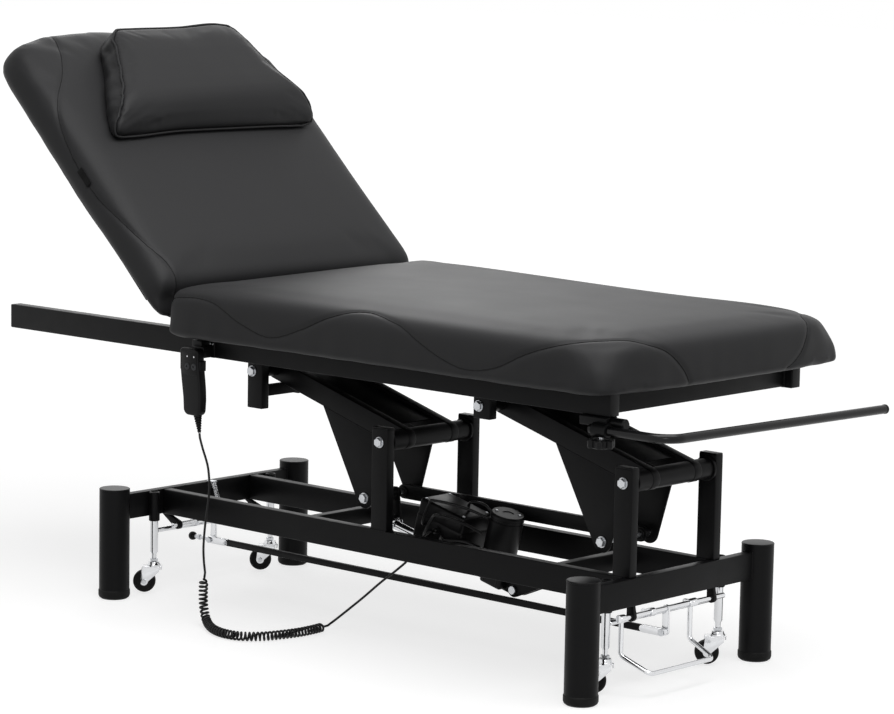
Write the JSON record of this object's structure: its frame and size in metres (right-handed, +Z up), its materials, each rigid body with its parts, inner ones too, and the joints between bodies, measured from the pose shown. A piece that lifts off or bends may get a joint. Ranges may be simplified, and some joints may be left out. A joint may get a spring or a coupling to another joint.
{
  "type": "electric massage table",
  "caption": "Black electric massage table with a reclining padded backrest, a wedge pillow, a curly-corded handset, a paper roll bar and casters lowered by a pedal.",
  "frame": {"origin": "on the floor, under the middle of the whole table", "axes": "X from the head end to the foot end, Y from the near side to the far side, Z up"},
  "size_m": [1.6985, 0.7184, 1.1085],
  "materials": {
    "black_powder_coat": "satin powder coat",
    "black_imitation_leather": "satin, fine grain",
    "black_stained_board": "matt stained",
    "black_plastic": "satin moulded",
    "black_rubber": "matt",
    "black_cord_jacket": "satin cord jacket",
    "chrome": "polished",
    "zinc_plated_steel": "bright zinc"
  },
  "bodies": {
    "root": {"leg_head_near": "black_powder_coat", "leg_head_far": "black_powder_coat", "leg_foot_near": "black_powder_coat", "leg_foot_far": "black_powder_coat", "head_end_beam": "black_powder_coat", "foot_end_beam": "black_powder_coat", "near_base_rail": "black_powder_coat", "far_base_rail": "black_powder_coat", "head_cross_member": "black_powder_coat", "foot_cross_member": "black_powder_coat", "head_post_bolt": "zinc_plated_steel", "foot_post_bolt": "zinc_plated_steel", "handset_cord_curl": "black_cord_jacket", "handset_cord_lead": "black_cord_jacket"},
    "arm_head": {"head_lift_arm": "black_powder_coat", "head_lever_bolt": "zinc_plated_steel"},
    "arm_foot": {"foot_lift_arm": "black_powder_coat", "foot_lever_bolt": "zinc_plated_steel"},
    "link_bar": {"link_bar": "black_powder_coat"},
    "upper_frame": {"near_top_rail": "black_powder_coat", "far_top_rail": "black_powder_coat", "foot_top_beam": "black_powder_coat", "head_frame_bracket": "black_powder_coat", "foot_frame_bracket": "black_powder_coat", "bed_board": "black_stained_board", "bed_cushion": "black_imitation_leather", "handset_clip": "black_plastic", "handset": "black_plastic", "roll_bar_clamp": "black_powder_coat", "handset_cord_drop": "black_cord_jacket"},
    "backrest": {"backrest_board": "black_stained_board", "backrest_cushion": "black_imitation_leather", "pillow": "black_imitation_leather"},
    "strut_tube": {"strut_tube": "black_powder_coat"},
    "strut_rod": {"strut_rod": "chrome"},
    "actuator": {"actuator_body": "black_plastic", "control_box": "black_plastic"},
    "actuator_rod": {"actuator_rod": "chrome"},
    "pedal_shaft": {"pedal_shaft": "chrome"},
    "head_caster_shaft": {"head_caster_shaft": "chrome"},
    "caster_link_rod": {"caster_link_rod": "black_powder_coat"},
    "roll_bar": {"roll_bar": "black_powder_coat"},
    "roll_bar_knob": {"roll_bar_knob": "black_plastic"},
    "handset_up_button": {"handset_up_button": "black_plastic"},
    "handset_down_button": {"handset_down_button": "black_plastic"},
    "head_casters": {"caster_leg_head_near": "chrome", "caster_leg_head_far": "chrome", "head_caster_bar": "chrome"},
    "caster_fork_head_near": {"caster_fork_head_near": "chrome"},
    "caster_wheel_head_near": {"caster_wheel_head_near": "black_rubber"},
    "caster_fork_head_far": {"caster_fork_head_far": "chrome"},
    "caster_wheel_head_far": {"caster_wheel_head_far": "black_rubber"},
    "foot_casters": {"caster_leg_foot_near": "chrome", "caster_leg_foot_far": "chrome", "foot_caster_bar": "chrome"},
    "caster_fork_foot_near": {"caster_fork_foot_near": "chrome"},
    "caster_wheel_foot_near": {"caster_wheel_foot_near": "black_rubber"},
    "caster_fork_foot_far": {"caster_fork_foot_far": "chrome"},
    "caster_wheel_foot_far": {"caster_wheel_foot_far": "black_rubber"}
  },
  "joints": [
    {"name": "lift", "type": "hinge", "parent": "root", "child": "arm_head", "pos_m": [0.03975, 0, 0.372], "axis": [0, 1, 0], "range_deg": [-25.8, 11.9], "deforming": ["handset_cord_drop", "handset_cord_lead"]},
    {"name": "foot_arm", "type": "hinge", "parent": "root", "child": "arm_foot", "pos_m": [0.62475, 0, 0.372], "axis": [0, 1, 0], "range_deg": [-25.8, 11.9]},
    {"name": "upper_frame_level", "type": "hinge", "parent": "arm_head", "child": "upper_frame", "pos_m": [-0.30025, 0, 0.46949], "axis": [0, 1, 0], "range_deg": [-11.9, 25.8]},
    {"name": "link_bar_level", "type": "hinge", "parent": "arm_head", "child": "link_bar", "pos_m": [-0.05482, 0, 0.24609], "axis": [0, 1, 0], "range_deg": [-11.9, 25.8]},
    {"name": "drive_swing", "type": "hinge", "parent": "root", "child": "actuator", "pos_m": [0.27875, 0, 0.112], "axis": [0, 1, 0], "range_deg": [-1.7, 0.8]},
    {"name": "drive_stroke", "type": "slide", "parent": "actuator", "child": "actuator_rod", "axis": [-0.9719, 0, 0.2352], "range_m": [-0.0891, 0.0412]},
    {"name": "backrest", "type": "hinge", "parent": "upper_frame", "child": "backrest", "pos_m": [-0.32605, 0, 0.60979], "axis": [0, 1, 0], "range_deg": [-44.5, 20.5]},
    {"name": "strut_swing", "type": "hinge", "parent": "upper_frame", "child": "strut_tube", "pos_m": [-0.31225, 0, 0.42499], "axis": [0, 1, 0], "range_deg": [-31.3, 14.45]},
    {"name": "strut_stroke", "type": "slide", "parent": "strut_tube", "child": "strut_rod", "axis": [-0.6396, 0, 0.7687], "range_m": [-0.0983, 0.0454]},
    {"name": "pedal", "type": "hinge", "parent": "root", "child": "pedal_shaft", "pos_m": [0.63975, 0, 0.135], "axis": [0, -1, 0], "range_deg": [0, 30]},
    {"name": "head_shaft_turn", "type": "hinge", "parent": "root", "child": "head_caster_shaft", "pos_m": [-0.52075, 0, 0.135], "axis": [0, -1, 0], "range_deg": [0, 30]},
    {"name": "link_rod_level", "type": "hinge", "parent": "pedal_shaft", "child": "caster_link_rod", "pos_m": [0.63975, 0, 0.093], "axis": [0, -1, 0], "range_deg": [-30, 0]},
    {"name": "head_caster_drop", "type": "slide", "parent": "root", "child": "head_casters", "axis": [0, 0, -1], "range_m": [0, 0.014]},
    {"name": "foot_caster_drop", "type": "slide", "parent": "root", "child": "foot_casters", "axis": [0, 0, -1], "range_m": [0, 0.014]},
    {"name": "caster_swivel_head_near", "type": "hinge", "parent": "head_casters", "child": "caster_fork_head_near", "pos_m": [-0.5405, -0.162, 0], "axis": [0, 0, 1], "continuous": true},
    {"name": "caster_roll_head_near", "type": "hinge", "parent": "caster_fork_head_near", "child": "caster_wheel_head_near", "pos_m": [-0.55462, -0.17471, 0.0245], "axis": [0.6691, -0.7431, 0], "continuous": true},
    {"name": "caster_swivel_head_far", "type": "hinge", "parent": "head_casters", "child": "caster_fork_head_far", "pos_m": [-0.5405, 0.162, 0], "axis": [0, 0, 1], "continuous": true},
    {"name": "caster_roll_head_far", "type": "hinge", "parent": "caster_fork_head_far", "child": "caster_wheel_head_far", "pos_m": [-0.55462, 0.14929, 0.0245], "axis": [0.6691, -0.7431, 0], "continuous": true},
    {"name": "caster_swivel_foot_near", "type": "hinge", "parent": "foot_casters", "child": "caster_fork_foot_near", "pos_m": [0.62, -0.162, 0], "axis": [0, 0, 1], "continuous": true},
    {"name": "caster_roll_foot_near", "type": "hinge", "parent": "caster_fork_foot_near", "child": "caster_wheel_foot_near", "pos_m": [0.60588, -0.17471, 0.0245], "axis": [0.6691, -0.7431, 0], "continuous": true},
    {"name": "caster_swivel_foot_far", "type": "hinge", "parent": "foot_casters", "child": "caster_fork_foot_far", "pos_m": [0.62, 0.162, 0], "axis": [0, 0, 1], "continuous": true},
    {"name": "caster_roll_foot_far", "type": "hinge", "parent": "caster_fork_foot_far", "child": "caster_wheel_foot_far", "pos_m": [0.60588, 0.14929, 0.0245], "axis": [0.6691, -0.7431, 0], "continuous": true},
    {"name": "roll_bar_slide", "type": "slide", "parent": "upper_frame", "child": "roll_bar", "axis": [1, 0, 0], "range_m": [-0.03, 0.02]},
    {"name": "clamp_knob", "type": "hinge", "parent": "upper_frame", "child": "roll_bar_knob", "pos_m": [0.69775, -0.2835, 0.49119], "axis": [0, 0, 1], "range_deg": [-180, 180]},
    {"name": "up_button", "type": "slide", "parent": "upper_frame", "child": "handset_up_button", "axis": [0, 1, 0], "range_m": [0, 0.0012], "stiffness_N_per_m": 900},
    {"name": "down_button", "type": "slide", "parent": "upper_frame", "child": "handset_down_button", "axis": [0, 1, 0], "range_m": [0, 0.0012], "stiffness_N_per_m": 900}
  ],
  "couplings": [
    {"joint": "foot_arm", "follows": "lift", "ratio": 1},
    {"joint": "upper_frame_level", "follows": "lift", "ratio": -1},
    {"joint": "link_bar_level", "follows": "lift", "ratio": -1},
    {"joint": "drive_swing", "follows": "lift", "ratio": 0.0633},
    {"joint": "drive_stroke", "follows": "lift", "m_per_rad": 0.1977},
    {"joint": "strut_swing", "follows": "backrest", "ratio": 0.7025},
    {"joint": "strut_stroke", "follows": "backrest", "m_per_rad": 0.1265},
    {"joint": "head_shaft_turn", "follows": "pedal", "ratio": 1},
    {"joint": "link_rod_level", "follows": "pedal", "ratio": -1},
    {"joint": "head_caster_drop", "follows": "pedal", "m_per_rad": 0.0267},
    {"joint": "foot_caster_drop", "follows": "pedal", "m_per_rad": 0.0267}
  ]
}
